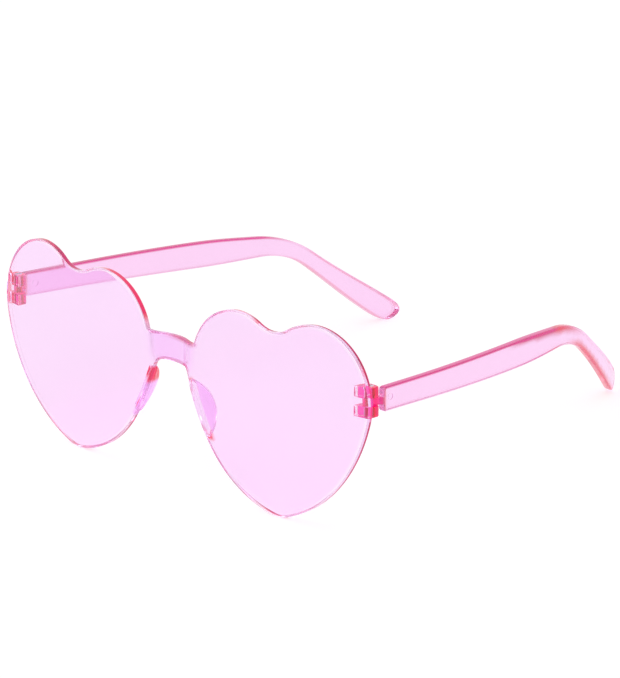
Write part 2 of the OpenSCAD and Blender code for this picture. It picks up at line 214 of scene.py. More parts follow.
class HingeSizes(bpy.types.PropertyGroup):
    """Sizes of the ears, knuckles and screws."""

    pin_x: length("Screw, sideways", "Distance of a screw from the mid plane", 72)
    pin_y: length("Screw, depth", "Distance of a screw behind the front", 7)
    hinge_z: length("Hinge level", "Level of the middle of the hinge", 8.6)
    ear_h: length("Ear height", "Height of one ear", 3)
    knuckle_h: length("Knuckle height", "Height of the knuckle", 2)
    knuckle_gap: length("Knuckle gap", "Gap over and under the knuckle", 0.1)
    knuckle_r: length("Knuckle radius", "Radius of the knuckle", 1.4)
    ear_in: length("Ear, inside", "Reach of an ear from the screw to the inside", 2.85)
    ear_slant: length("Ear slant", "Length of the slant along the ear's rear", 1.95)
    ear_out: length("Ear, outside", "Reach of an ear from the screw to the outside", 2.4)
    ear_back: length("Ear, back", "Reach of an ear behind the screw", 1.5)
    ear_slant_d: length("Ear slant depth", "Depth of the slant", 1.3)
    ear_corner_r: length("Ear corner", "Radius of the outer rear corner", 1.2)
    end_reach: length("End reach", "Front end of a temple behind the screw", 2.45)
    screw_d: length("Screw diameter", "Diameter of the shank", 1.3)
    head_d: length("Head diameter", "Diameter of the head", 2.1)
    head_h: length("Head height", "Height of the head", 0.6)
    slot_w: length("Slot width", "Width of the slot", 0.4)
    slot_depth: length("Slot depth", "Depth of the slot", 0.3)
    ear_fit: length("Ear fit", "Gap around the screw in the ears", 0.02)
    knuckle_fit: length("Knuckle fit", "Gap around the screw in the knuckle", 0.05)
    ear_round: length("Ear rounding", "Rounding of the ears' edges", 0.3)
    knuckle_round: length("Knuckle rounding", "Rounding of the knuckle's edges", 0.15)


class TempleSizes(bpy.types.PropertyGroup):
    """Sizes of the temples."""

    temple_x: length("Temple, sideways", "Front end of a temple from the mid plane", 73.6)
    temple_z: length("Temple level", "Level of a temple at its front end", 8.8)
    temple_t: length("Temple thickness", "Thickness of a temple", 2.5)
    arm_len: length("Arm length", "Flat arm before the bend", 74.2)
    bend_r: length("Bend radius", "Radius of the bend over the ear", 23.5)
    ear_slope: angle("Ear slope", "Slope of the ear piece", 40)
    arm_slope: angle("Arm slope", "Slope of the arm", 0.7)
    ear_piece_len: length("Ear piece length", "Ear piece behind the bend", 24)
    arm_h_front: length("Arm height, front", "Height of the arm at its front end", 6.7)
    arm_h_wide: length("Arm height, widest", "Height of the arm where it is widest", 7.4)
    neck_h: length("Neck height", "Height at the narrow end of the bend", 4.6)
    flare_h: length("Flare height", "Height at the flared tip", 6.4)
    tip_len: length("Tip length", "Length of the rounded end", 4.5)
    toe_in: angle("Toe in", "Lean of an arm behind the hinge", 5.4)
    flat_run: length("Flat run", "Flat run behind the hinge", 13.5)
    sweep_r: length("Sweep radius", "Inward sweep of the arm", 344)
    sweep_run: length("Sweep run", "Length of the inward sweep", 76)
    wrap_r: length("Wrap radius", "Inward sweep of the ear piece", 70)
    widest_share: share("Widest place", "Where along the arm it is widest", 0.75)
    tip_power: share("Tip squareness", "Power of the rounded end's outline", 0.75)
    mark_d: length("Mould mark", "Diameter of the round mould mark", 1.8)
    mark_depth: length("Mark depth", "Depth of the mould mark", 0.2)
    mark_run: length("Mark run", "Mould mark from the front end of the arm", 3.4)
    edge_r: length("Edge rounding", "Rounding of the temples' edges", 0.6)
    corner_r: length("Corner rounding", "Rounding of the front end's corners", 0.9)


class FinishColours(bpy.types.PropertyGroup):
    """Colours of the plastic, of the light and shade painted on it, of the screws and of the stage.
    """

    front: colour("Front", "Tint of the lenses and the bridge", (0.97, 0.715, 0.975))
    # Painted light: the rim's wall is painted near white where it faces right, up or down, standing
    # in for light passing through the edge.
    clear: colour("Edge light", "Tint of the rim's wall before its line", (1.0, 0.97, 1.0))
    temple: colour("Temples", "Tint of the temples", (0.975, 0.645, 0.92))
    # The pads' lilac tint, painted much deeper on the left pads than on the right as painted light,
    # and faintly on the bridge.
    lilac: colour("Pads", "Tint of the nose pads", (0.91, 0.34, 0.965))
    # Partly the deeper tint of the thick ears and knuckles, partly painted glow where light
    # gathers: it also takes the rim's dark line near the hinges and part of the temples' front end
    # walls.
    hot_pink: colour("Hinges", "Tint of the thick ears and knuckles", (1.0, 0.004, 0.2))
    # Painted glow: pink painted along the up and down facing edges of the bridge and along the top
    # edges and walls of the temples, where light runs through the plastic.
    painted_edge_glow: colour("Edges", "Tint of the bridge's and the temples' edges", (0.62, 0.004, 0.12))
    # Painted shade: the dark line painted in the lens rims where light is trapped in the edge.
    rim: colour("Rims", "Tint of the lens rims", (0.42, 0.0, 0.02))
    crimson: colour("Corners", "Tint where light gathers in the corners", (0.85, 0.0, 0.015))
    salmon: colour("Glow", "Tint where light gathers in the bends", (0.80, 0.012, 0.012))
    shadow: colour("Plastic shadow", "Light that comes through the plastic", (0.98, 0.92, 0.975))
    steel: colour("Steel", "Colour of the screws", (0.8, 0.79, 0.81))
    floor: colour("Floor", "Colour of the floor", (0.9, 0.9, 0.9))


# Plane geometry shared by the outlines.


def unit(v):
    """A direction of length one."""
    return v / np.linalg.norm(v)


def heading(a):
    """The direction at an angle from the first axis of a plane."""
    return np.array([math.cos(a), math.sin(a)])


def left_of(v):
    """A direction turned to the left by a right angle."""
    return np.array([-v[1], v[0]])


def smooth(low, high, value):
    """0 at low, 1 at high and a soft step between."""
    t = np.clip((value - low) / (high - low), 0, 1)
    return t * t * (3 - 2 * t)


def left_edge(mid, r, height):
    """How far along the left side of a circle lies at a height."""
    return mid[0] - np.sqrt(np.maximum(0, r**2 - (height - mid[1]) ** 2))


def meet(a, ra, b, rb, side):
    """Middle of a circle that is ra from a and rb from b, on one side of the line from a to b."""
    gap = np.linalg.norm(b - a)
    run = (b - a) / gap
    along = (gap * gap + ra * ra - rb * rb) / (2 * gap)
    return a + along * run + side * math.sqrt(ra * ra - along * along) * left_of(run)


def circle(mid, r):
    """Places round a circle."""
    return [np.array(mid) + r * heading(math.tau * i / SIDES) for i in range(SIDES)]


def arc(mid, start, end, turn, step=OUTLINE_STEP):
    """Places from start towards end round mid: turn is 1 for left and -1 for right."""
    first, last = (math.atan2(*(p - mid)[::-1]) for p in (start, end))
    sweep = turn * ((turn * (last - first)) % math.tau)
    r = np.linalg.norm(start - mid)
    count = max(2, math.ceil(abs(sweep) * r / step))
    return [mid + r * heading(first + sweep * i / count) for i in range(count)]


def line(start, end):
    """Places from start towards end, without the end."""
    count = max(1, math.ceil(np.linalg.norm(end - start) / OUTLINE_STEP))
    return [start + (end - start) * i / count for i in range(count)]


def rounded(corners, radii):
    """A closed outline through corners, each turned into an arc of its radius."""
    points = []
    for i, (corner, r) in enumerate(zip(corners, radii)):
        if r == 0:
            points.append(corner)
            continue
        to_before = unit(corners[i - 1] - corner)
        to_after = unit(corners[(i + 1) % len(corners)] - corner)
        half = math.acos(np.clip(to_before @ to_after, -1, 1)) / 2
        mid = corner + unit(to_before + to_after) * r / math.sin(half)
        start, end = (corner + r / math.tan(half) * v for v in (to_before, to_after))
        turn = 1 if left_of(to_before) @ to_after < 0 else -1
        points += arc(mid, start, end, turn, CORNER_STEP) + [end]
    return points


def evenly(points, step):
    """The same closed line with its places an even step apart."""
    p = np.array(points + points[:1])
    run = np.concatenate([[0], np.cumsum(np.linalg.norm(np.diff(p, axis=0), axis=1))])
    at = np.linspace(0, run[-1], round(run[-1] / step), endpoint=False)
    return list(np.column_stack([np.interp(at, run, p[:, 0]), np.interp(at, run, p[:, 1])]))


def inset_rings(outline, insets):
    """The closed outline moved inside by each inset."""
    p = np.array(outline)
    run = np.roll(p, -1, 0) - np.roll(p, 1, 0)
    run /= np.linalg.norm(run, axis=1)[:, None]
    inside = np.column_stack([-run[:, 1], run[:, 0]])
    if np.sum(p[:, 0] * np.roll(p[:, 1], -1) - np.roll(p[:, 0], -1) * p[:, 1]) < 0:
        inside = -inside
    return [p + inset * inside for inset in insets]


def inside_of(p, ring):
    """Whether a place is inside a closed ring."""
    x, y = ring.T
    x2, y2 = np.roll(x, -1), np.roll(y, -1)
    crosses = (y > p[1]) != (y2 > p[1])
    if not crosses.any():
        return False
    at = x[crosses] + (p[1] - y[crosses]) * (x2 - x)[crosses] / (y2 - y)[crosses]
    return np.count_nonzero(at > p[0]) % 2 == 1


def tree_of(outline):
    """A search tree over the places of an outline."""
    tree = KDTree(len(outline))
    for i, (u, v) in enumerate(outline):
        tree.insert((u, v, 0), i)
    tree.balance()
    return tree


def edge_of(outline, flat):
    """How far places are from a closed outline, and which way its nearest place faces."""
    outward = np.array(outline) - inset_rings(outline, [1])[0]
    tree = tree_of(outline)
    found = [tree.find((u, v, 0)) for u, v in flat]
    return np.array([f[2] for f in found]), outward[[f[1] for f in found]].T


def lattice(outline, step, fine_step=None):
    """Places on a staggered grid within an outline's box and clear of its edge.

    With a fine_step, they are closer together on the bridge and beside it.
    """
    (low_u, low_v), (high_u, high_v) = np.min(outline, 0), np.max(outline, 0)
    fine_reach = FINE_REACH if fine_step else 0
    grid = []
    for spacing, fine in ((step, False), (fine_step, True)):
        if spacing is None:
            continue
        rows = np.arange(low_v + spacing / 3, high_v, spacing * math.sqrt(3) / 2)
        for i, v in enumerate(rows):
            for u in np.arange(low_u + spacing * GRID_SHIFTS[i % 2], high_u, spacing):
                if (abs(u) < fine_reach) == fine:
                    grid.append(np.array([u, v]))
    tree = tree_of(outline)
    return [
        p for p in grid
        if tree.find((*p, 0))[2] > EDGE_CLEAR + (0 if abs(p[0]) < fine_reach else GRID_CLEAR * step)
    ]


# Layout of the pieces, worked out from their sizes as the CAD source does.


class FrontPlan:
    """Outline and faces of the front moulding."""

    def __init__(self, scene):
        self.f, self.p, self.h = (
            scene.sunglasses_front, scene.sunglasses_pads, scene.sunglasses_hinges
        )
        f = self.f
        heart = np.array([f.heart_pitch / 2, 0])
        self.outer = heart + [f.outer_lobe_x, f.outer_lobe_z]
        self.inner = heart + [-f.inner_lobe_x, f.inner_lobe_z]
        self.tip = heart + [0, -f.tip_drop]
        self.outer_side, self.inner_side = (
            meet(lobe, r - f.lobe_r, self.tip, r - f.tip_r, side)
            for lobe, r, side in ((self.outer, f.outer_side_r, -1), (self.inner, f.inner_side_r, 1))
        )
        cleft_arm = f.lobe_r + f.cleft_r
        self.cleft = meet(self.inner, cleft_arm, self.outer, cleft_arm, 1)
        self.bridge_bottom = f.bridge_top_z - f.bridge_h
        fall = f.rail_drop + self.inner_side[1]
        self.rail_foot = self.inner_side - [math.sqrt(f.inner_side_r**2 - fall**2), fall]
        to_rail = self.inner_side - self.rail_foot
        self.rail = self.rail_foot + f.rail_r / f.inner_side_r * to_rail
        fillet_z = self.bridge_bottom - f.bridge_fillet_r
        fillet_x = left_edge(self.rail, f.rail_r + f.bridge_fillet_r, fillet_z)
        self.fillet = np.array([fillet_x, fillet_z])
        self.lay_out_bridge()

    def lay_out_bridge(self):
        """The bridge in plan: a valley with a shoulder at each side, all of one radius."""
        f = self.f
        half_w, back = f.bridge_half_w, f.bridge_set_back
        self.shoulder_a = math.asin((f.vertex_x - half_w) / f.base_curve_r)
        cos_a, sin_a = heading(self.shoulder_a)
        span = half_w**2 + back**2
        swing = back * (1 + cos_a) - half_w * sin_a
        self.swing_r = span / (swing + math.sqrt(swing**2 + 2 * span * (1 - cos_a)))
        self.swing_a = math.asin((half_w / self.swing_r + sin_a) / 2)
        end_y = self.lens_y(half_w, f.bridge_top_z, 0) + f.bridge_sink
        self.valley = np.array([0, end_y + back - self.swing_r])
        self.shoulder = self.valley + 2 * self.swing_r * heading(self.swing_a)[::-1]

    def lens_y(self, x, z, depth):
        """Depth of a lens face, at a depth behind its front face."""
        f = self.f
        r = f.base_curve_r - depth
        ball = np.sqrt(r * r - (np.abs(x) - f.vertex_x) ** 2 - z * z)
        return f.base_curve_r - f.lens_forward - ball

    def bridge_y(self, x, depth):
        """Depth of a face of the bridge, at a depth behind its front face."""
        x = np.abs(x)
        valley_r, shoulder_r = self.swing_r + depth, self.swing_r - depth
        turn = valley_r * math.sin(self.swing_a)
        end = self.shoulder[0] - shoulder_r * math.sin(self.shoulder_a)
        valley = self.valley[1] + np.sqrt(valley_r**2 - np.minimum(x, turn) ** 2)
        side = self.shoulder[0] - np.clip(x, turn, end)
        shoulder = self.shoulder[1] - np.sqrt(shoulder_r**2 - side**2)
        shoulder -= np.maximum(0, x - end) * math.tan(self.shoulder_a)
        return np.where(x < turn, valley, shoulder)

    def lens_share(self, x, z):
        """1 on the lenses, 0 on the bridge and a soft step between them."""
        f = self.f
        lobe = left_edge(self.inner, f.lobe_r, np.minimum(z, f.bridge_top_z))
        rail = left_edge(self.rail, f.rail_r, z)
        edge = rail + (lobe - rail) * smooth(
            self.bridge_bottom - RAIL_BLEND, self.bridge_bottom + RAIL_BLEND, z
        )
        near = smooth(edge - BLEND_BEFORE, edge + BLEND_BEHIND, np.abs(x))
        return np.where(z < self.fillet[1] - MM, 1, near)

    def face(self, x, z, behind):
        """Depth of the front face, where behind is 0, and of the rear face, where it is 1."""
        f = self.f
        on_lens = self.lens_share(x, z)
        bridge = self.bridge_y(x, behind * f.bridge_t)
        return on_lens * self.lens_y(x, z, behind * f.lens_t) + (1 - on_lens) * bridge

    def outline(self):
        """The closed line round both hearts and the bridge, seen from the front."""
        f = self.f
        level = f.bridge_top_z + f.shoulder_round
        corner = np.array([left_edge(self.inner, f.lobe_r + f.shoulder_round, level), level])
        ends = [
            np.array([corner[0], f.bridge_top_z]),
            self.inner + f.lobe_r * unit(corner - self.inner),
            self.inner + f.lobe_r * unit(self.cleft - self.inner),
            self.outer + f.lobe_r * unit(self.cleft - self.outer),
            self.outer + f.lobe_r * unit(self.outer - self.outer_side),
            self.tip + f.tip_r * unit(self.tip - self.outer_side),
            self.tip + f.tip_r * unit(self.tip - self.inner_side),
            self.rail_foot,
            self.rail + f.rail_r * unit(self.fillet - self.rail),
            self.fillet + [0, f.bridge_fillet_r],
        ]
        arcs = [
            (corner, 1, SHOULDER_STEP), (self.inner, -1), (self.cleft, 1), (self.outer, -1),
            (self.outer_side, -1), (self.tip, -1), (self.inner_side, -1), (self.rail, -1),
            (self.fillet, 1, FILLET_STEP),
        ]
        half = line(np.array([0, f.bridge_top_z]), ends[0])
        for (mid, *turn), start, end in zip(arcs, ends, ends[1:]):
            half += arc(mid, start, end, *turn)
        bottom = np.array([0, self.bridge_bottom])
        half += line(ends[-1], bottom)
        return half + [bottom] + [np.array([-x, z]) for x, z in half[:0:-1]]


class TemplePlan:
    """Outline and faces of the right temple."""

    def __init__(self, scene):
        self.t, self.h = scene.sunglasses_temples, scene.sunglasses_hinges
        t = self.t
        self.front_y = self.h.pin_y + self.h.end_reach
        self.ear_start = t.arm_len + t.bend_r * (t.ear_slope - t.arm_slope)
        self.total = self.ear_start + t.ear_piece_len
        self.sweep_y = self.front_y + t.flat_run
        sweep_x = t.temple_x - t.flat_run * math.tan(t.toe_in)
        self.toe = heading(t.toe_in)
        self.sweep = np.array([sweep_x, self.sweep_y]) - t.sweep_r * self.toe
        self.wrap_a = math.asin((self.sweep_y + t.sweep_run - self.sweep[1]) / t.sweep_r)
        self.wrap = self.sweep + (t.sweep_r - t.wrap_r) * heading(self.wrap_a)

    def half_height(self, s):
        """Half of the height, at a run along the middle line."""
        t = self.t
        wide = t.widest_share * t.arm_len
        height = t.arm_h_front
        for low, high, rise in (
            (0, wide, t.arm_h_wide - t.arm_h_front),
            (wide, self.ear_start, t.neck_h - t.arm_h_wide),
            (self.ear_start, self.total, t.flare_h - t.neck_h),
        ):
            height += rise * smooth(low, high, s)
        return height / 2

    def slope(self, s):
        """Slope of the middle line, downward to the rear."""
        t = self.t
        return min(t.ear_slope, t.arm_slope + max(0, s - t.arm_len) / t.bend_r)

    def middle(self, s):
        """Place on the middle line, as (y, z)."""
        t = self.t
        run = heading(-t.arm_slope)
        place = np.array([self.front_y, t.temple_z]) + min(s, t.arm_len) * run
        if s < t.arm_len:
            return place
        on_bend = place + t.bend_r * (left_of(heading(-self.slope(s))) - left_of(run))
        return on_bend + max(0, s - self.ear_start) * heading(-t.ear_slope)

    def outline(self):
        """The closed line round the temple, seen from its side, as (y, z) places."""
        t = self.t
        count = math.ceil(self.total / SIDE_STEP)
        upper, lower = [], []
        for i in range(count + 1):
            s = self.total * i / count
            square = self.half_height(s) * left_of(heading(-self.slope(s)))
            upper.append(self.middle(s) + square)
            lower.append(self.middle(s) - square)
        end, run = self.middle(self.total), heading(-t.ear_slope)
        tip = []
        for i in range(1, TIP_STEPS):
            round_off = heading(math.pi / 2 - math.pi * i / TIP_STEPS)
            along, across = (math.copysign(abs(v) ** t.tip_power, v) for v in round_off)
            tip.append(end + t.tip_len * along * run + t.flare_h / 2 * across * left_of(run))
        keep = math.ceil(t.corner_r / SIDE_STEP) + 1
        front_end = rounded(
            [lower[keep], lower[0], upper[0], upper[keep]], [0, t.corner_r, t.corner_r, 0]
        )
        return evenly(
            front_end[1:-1] + upper[keep:] + tip + lower[:keep - 1:-1], TEMPLE_OUTLINE_STEP
        )

    def face_x(self, y, offset):
        """Sideways place of the face that lies offset outside the middle of the thickness."""
        t = self.t
        straight = t.temple_x + offset / self.toe[0] - (y - self.front_y) * math.tan(t.toe_in)
        sweep_r, wrap_r = t.sweep_r + offset, t.wrap_r + offset
        sweep = self.sweep[0] + np.sqrt(sweep_r**2 - (y - self.sweep[1]) ** 2)
        wrap_y = self.sweep[1] + sweep_r * math.sin(self.wrap_a)
        rise = np.maximum(y, wrap_y) - self.wrap[1]
        wrap = self.wrap[0] + np.sqrt(np.maximum(0, wrap_r**2 - rise**2))
        on_sweep = y > self.sweep_y + offset * self.toe[1]
        return np.where(y > wrap_y, wrap, np.where(on_sweep, sweep, straight))


# Mesh making.


def standing_matrix():
    """Carries the front frame to the pose in which the glasses stand, from the frame's joint."""
    h = bpy.context.scene.sunglasses_hinges
    joint = next(j for j in frame["joints"] if j["name"] == "hinge_right")
    axis, pin = Vector(joint["axis"]), Vector(joint["pos_m"])
    turn = Matrix.Rotation(-math.atan2(axis.y, axis.z), 4, "X")
    return Matrix.Translation(pin - turn @ Vector((h.pin_x, h.pin_y, h.hinge_z))) @ turn


def round_edge(reach, fall, steps=3):
    """Profile of a rounded edge: pairs of inset and share of the thickness, from the face out."""
    turn = np.linspace(0, math.pi / 2, steps + 1)
    return np.column_stack([reach * (1 - np.sin(turn)), fall * (1 - np.cos(turn))])


def tapered_edge(reach, fall):
    """Profile of a face that tapers towards its edge, with a small round at the corner."""
    run = np.linspace(0, 1, TAPER_STEPS + 1)[:-1]
    return np.column_stack([
        np.append(reach * (1 - run), reach * np.array(TAPER_CORNER_INSETS)),
        np.append(fall * run**TAPER_POWER, fall + np.array(TAPER_CORNER_FALLS)),
    ])


def strips(rings):
    """Quads between each closed ring of points and the next."""
    n = len(rings[0])
    return [
        [a[i], a[(i + 1) % n], b[(i + 1) % n], b[i]]
        for a, b in zip(rings, rings[1:]) for i in range(n)
    ]


def slab(outline, rims, low_face, high_face, axes, fill):
    """A plate with worked edges: two faces over one outline, joined by a wall.

    rims holds the edge profiles of the low and the high face. low_face and high_face give the
    depth of the faces at places of the outline's plane, axes the order in which (u, v, depth)
    become (x, y, z), and fill the places inside the faces.
    """
    n = len(outline)
    border = inset_rings(outline, [BORDER_REACH * max(rim[0][0] for rim in rims)])[0]
    flat = [*border, *(p for p in fill if inside_of(p, border))]
    made = delaunay_2d_cdt([Vector(p / MM) for p in flat], [], [list(range(n))], 1, 1e-6)
    flat = np.array([[v.x, v.y] for v in made[0]]) * MM
    origin = {source: i for i, sources in enumerate(made[3]) for source in sources}
    points, faces, chains = [], [], []

    def add_ring(ring, near_face, far_face, fall):
        first = len(points)
        near, far = near_face(*ring.T), far_face(*ring.T)
        points.extend(np.column_stack([ring, near + fall * (far - near)])[:, axes])
        return range(first, len(points))

    for rim, near_face, far_face, sign in (
        (rims[0], low_face, high_face, 1), (rims[1], high_face, low_face, -1)
    ):
        cap = add_ring(flat, near_face, far_face, 0)
        faces += [[cap[i] for i in t[::sign]] for t in made[2]]
        chains.append([[cap[origin[i]] for i in range(n)]])
        for ring, fall in zip(inset_rings(outline, rim[:, 0]), rim[:, 1]):
            chains[-1].append(add_ring(ring, near_face, far_face, fall))
    return points, faces + strips(chains[0] + chains[1][::-1])


def level_plate(outline, rim, low, high):
    """A plate with round rims that lies level between two heights, from its outline in plan."""
    return slab(
        outline, 2 * [round_edge(rim, rim / (high - low))],
        lambda u, v: np.full(len(u), low), lambda u, v: np.full(len(u), high),
        (0, 1, 2), lattice(outline, LEVEL_STEP),
    )


def on_side(points, side):
    """Points of the right side where side is 1, and their mirror images where it is -1."""
    return [(side * x, y, z) for x, y, z in points]


def mesh_object(name, points, faces):
    """A mesh object with its faces turned outward."""
    mesh = bpy.data.meshes.new(name)
    mesh.from_pydata([tuple(p) for p in points], [], faces)
    work = bmesh.new()
    work.from_mesh(mesh)
    bmesh.ops.recalc_face_normals(work, faces=work.faces)
    work.to_mesh(mesh)
    work.free()
    obj = bpy.data.objects.new(name, mesh)
    bpy.context.scene.collection.objects.link(obj)
    return obj


def prism(outline, low, high):
    """An upright cutter between two heights, from its outline in plan."""
    n = len(outline)
    points = [(x, y, z) for z in (low, high) for x, y in outline]
    rings = [list(range(n)), list(range(n, 2 * n))]
    return mesh_object("cutter", points, rings + strips(rings))


def combine(base, others, operation):
    """Joins the others to base, or cuts them from it, and removes them."""
    for other in others:
        modifier = base.modifiers.new("Combine", "BOOLEAN")
        modifier.operation = operation
        modifier.solver = "EXACT"
        modifier.object = other
        bpy.context.view_layer.update()
        graph = bpy.context.evaluated_depsgraph_get()
        made = bpy.data.meshes.new_from_object(base.evaluated_get(graph))
        base.modifiers.clear()
        old, base.data = base.data, made
        bpy.data.meshes.remove(old)
        bpy.data.objects.remove(other)
    if not base.data.polygons:
        raise RuntimeError(f"{base.name} came out empty")


def finish_piece(obj, name, body, node, material, crease=32):
    """Stands a piece on the floor, shades it, gives it its material, hangs it on the body it rides
    on and hides the CAD part it stands for.
    """
    obj.name = obj.data.name = name
    obj.data.transform(standing_matrix())
    obj.data.shade_smooth()
    obj.data.set_sharp_from_angle(angle=math.radians(crease))
    obj.data.materials.clear()
    obj.data.materials.append(material)
    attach(obj, body)
    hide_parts(node)


def points_of(obj):
    """The places of all points of a piece, in the front frame."""
    co = np.zeros(len(obj.data.vertices) * 3)
    obj.data.vertices.foreach_get("co", co)
    return co.reshape(-1, 3)


def paint(obj, ground, layers):
    """Stores the tint at each point: a ground colour with layers of (colour, weights) over it."""
    tint = np.tile(np.array(ground), (len(obj.data.vertices), 1))
    for shade, weights in layers:
        w = np.clip(weights, 0, 1)[:, None]
        tint = tint * (1 - w) + np.array(shade) * w
    attribute = obj.data.attributes.new("tint", "FLOAT_COLOR", "POINT")
    opaque = np.column_stack([tint, np.ones(len(tint))])
    attribute.data.foreach_set("color", opaque.ravel().astype(np.float32))


# Materials.


def feed(tree, node, inputs):
    """Gives inputs of a node a value, or links them to a socket or a node's first output."""
    for key, value in inputs.items():
        if isinstance(value, bpy.types.Node):
            value = value.outputs[0]
        if isinstance(value, bpy.types.NodeSocket):
            tree.links.new(value, node.inputs[key])
        else:
            node.inputs[key].default_value = value


def add(tree, kind, inputs=None, **settings):
    """A shader node of a kind, with its settings and what goes into it."""
    node = tree.nodes.new("ShaderNode" + kind)
    for key, value in settings.items():
        setattr(node, key, value)
    feed(tree, node, inputs or {})
    return node


def new_material(name):
    """A material with an empty node tree."""
    material = bpy.data.materials.new(name)
    material.use_nodes = True
    material.node_tree.nodes.clear()
    return material, material.node_tree


def group_node(tree, name, build):
    """A node of a group that is built once, by its first use."""
    return add(tree, "Group", node_tree=bpy.data.node_groups.get(name) or build(name))


def node_group(name, inputs, outputs):
    """An empty shader group with named number inputs and named outputs."""
    group = bpy.data.node_groups.new(name, "ShaderNodeTree")
    new_socket = group.interface.new_socket
    for label, default in inputs.items():
        socket = new_socket(label, in_out="INPUT", socket_type="NodeSocketFloat")
        socket.default_value = default
    for label, kind in outputs.items():
        new_socket(label, in_out="OUTPUT", socket_type=kind)
    given = group.nodes.new("NodeGroupInput").outputs
    return group, given, group.nodes.new("NodeGroupOutput")


def moulded_gloss(name):
    """Polished moulding: faint wiping marks in the gloss and a slow ripple in the surface."""
    group, given, out = node_group(
        name, {"Gloss": 0.03, "Wiping": 0.05, "Ripple": 0.02},
        {"Roughness": "NodeSocketFloat", "Normal": "NodeSocketVector"},
    )
    place = add(group, "TexCoord").outputs["Object"]
    smear = add(group, "TexNoise", {"Vector": place, "Scale": 90, "Detail": 4})
    grade = add(group, "MapRange", {"Value": smear, "From Min": 0.5, "From Max": 0.75})
    marks = add(group, "Math", {0: grade, 1: given["Wiping"]}, operation="MULTIPLY")
    total = add(group, "Math", {0: marks, 1: given["Gloss"]}, operation="ADD")
    swell = add(group, "TexNoise", {"Vector": place, "Scale": 55, "Detail": 1})
    bump = add(group, "Bump", {"Strength": given["Ripple"], "Distance": 0.0002, "Height": swell})
    feed(group, out, {"Roughness": total, "Normal": bump})
    return group


def moulded_tint(name):
    """Tint painted on the moulding's points, with the painted light and shade at its edges, a
    little uneven where the plastic flowed.
    """
    group, given, out = node_group(
        name, {"Streaks": 0.045, "Streak size": 40}, {"Colour": "NodeSocketColor"}
    )
    place = add(group, "TexCoord").outputs["Object"]
    flow = add(group, "TexNoise", {"Vector": place, "Scale": given["Streak size"], "Detail": 3})
    least = add(group, "Math", {0: 1, 1: given["Streaks"]}, operation="SUBTRACT")
    shade = add(group, "MapRange", {"Value": flow, "To Min": 1, "To Max": least})
    tint = add(group, "Attribute", attribute_name="tint")
    mix = add(group, "VectorMath", {0: tint, "Scale": shade}, operation="SCALE")
    feed(group, out, {"Colour": mix})
    return group


def tinted_plastic(name, finish, tint, density):
    """Clear plastic: its colour is the tint painted on it, painted light and shade at its edges
    included, and a faint one of its own inside.
    """
    material, tree = new_material(name)
    gloss = group_node(tree, "Moulded gloss", moulded_gloss)
    shader = add(tree, "BsdfPrincipled", {
        "Base Color": group_node(tree, "Moulded tint", moulded_tint),
        "Roughness": gloss, "Normal": gloss.outputs["Normal"],
        "IOR": PLASTIC_IOR, "Transmission Weight": 1,
    })
    clear = add(tree, "BsdfTransparent", {"Color": (*finish.shadow, 1)})
    shadow = add(tree, "LightPath").outputs["Is Shadow Ray"]
    add(tree, "OutputMaterial", {
        "Surface": add(tree, "MixShader", {"Fac": shadow, 1: shader, 2: clear}),
        "Volume": add(tree, "VolumeAbsorption", {"Color": (*tint, 1), "Density": density}),
    })
    return material


def turned_steel(finish):
    """Bright turned steel with fine rings and a little wear."""
    material, tree = new_material("screw_steel")
    place = add(tree, "TexCoord").outputs["Object"]
    rings = add(
        tree, "TexWave", {"Vector": place, "Scale": 3000, "Distortion": 1.5},
        wave_type="RINGS", rings_direction="Z",
    )
    worn = add(tree, "TexNoise", {"Vector": place, "Scale": 2500, "Detail": 5})
    dull = (*[0.7 * c for c in finish.steel], 1)
    shade = add(
        tree, "Mix", {"Factor": worn, "A": (*finish.steel, 1), "B": dull}, data_type="RGBA"
    )
    fine = {"Strength": 0.25, "Distance": 0.00002, "Height": rings.outputs["Fac"]}
    shader = add(tree, "BsdfPrincipled", {
        "Metallic": 1, "Base Color": shade.outputs["Result"], "Normal": add(tree, "Bump", fine),
        "Roughness": add(tree, "MapRange", {"Value": worn, "To Min": 0.22, "To Max": 0.45}),
    })
    add(tree, "OutputMaterial", {"Surface": shader})
    return material


# Pieces.


def pad_solid(plan):
    """A crescent fin along the nasal edge that leans away from the nose."""
    f, p = plan.f, plan.p
    r = (p.pad_len**2 / 4 + p.pad_depth**2) / (2 * p.pad_depth)
    mid_z = -p.pad_drop
    pad_y = plan.lens_y(left_edge(plan.rail, f.rail_r, mid_z), mid_z, f.lens_t)
    root = f.root_share * f.lens_t
    base, middle, lean = pad_y - root, p.pad_t / 2, p.pad_lean / p.pad_depth
    half = math.sqrt(r**2 - (r - p.pad_depth - PAD_END_SHARE * root) ** 2)
    points = []
    for i in range(PAD_STATIONS):
        z = mid_z + half * math.sin(math.pi * (i / (PAD_STATIONS - 1) - 0.5))
        top = pad_y + math.sqrt(r**2 - (z - mid_z) ** 2) - (r - p.pad_depth)
        here = np.array([left_edge(plan.rail, f.rail_r, z), z])
        inward = unit(plan.rail - here)
        round_r = min(PAD_ROUND_SHARE * middle, max(PAD_LEAST_ROUND, (top - base) / 2))
        inner, outer = (
            [base + (top - round_r - base) * j / rows for j in range(PAD_ROWS)]
            for rows in (PAD_ROWS, PAD_OUTER_ROWS)
        )
        section = [(middle - round_r, y) for y in inner]
        for k in range(PAD_AROUND + 1):
            across, up = heading(math.pi * k / PAD_AROUND)
            section.append((middle - round_r * across, top - round_r + round_r * up))
        for y in outer[::-1]:
            swell = p.pad_flare * max(0, 1 - max(0, y - pad_y) / PAD_FLARE_RUN) ** 2
            section.append((middle + round_r + swell, y))
        for across, y in section:
            x, level = here + inward * (across + lean * max(0, y - pad_y))
            points.append((x, y, level))
    per = len(points) // PAD_STATIONS
    rings = [list(range(i * per, (i + 1) * per)) for i in range(PAD_STATIONS)]
    return points, strips(rings) + [rings[0][::-1], rings[-1]]


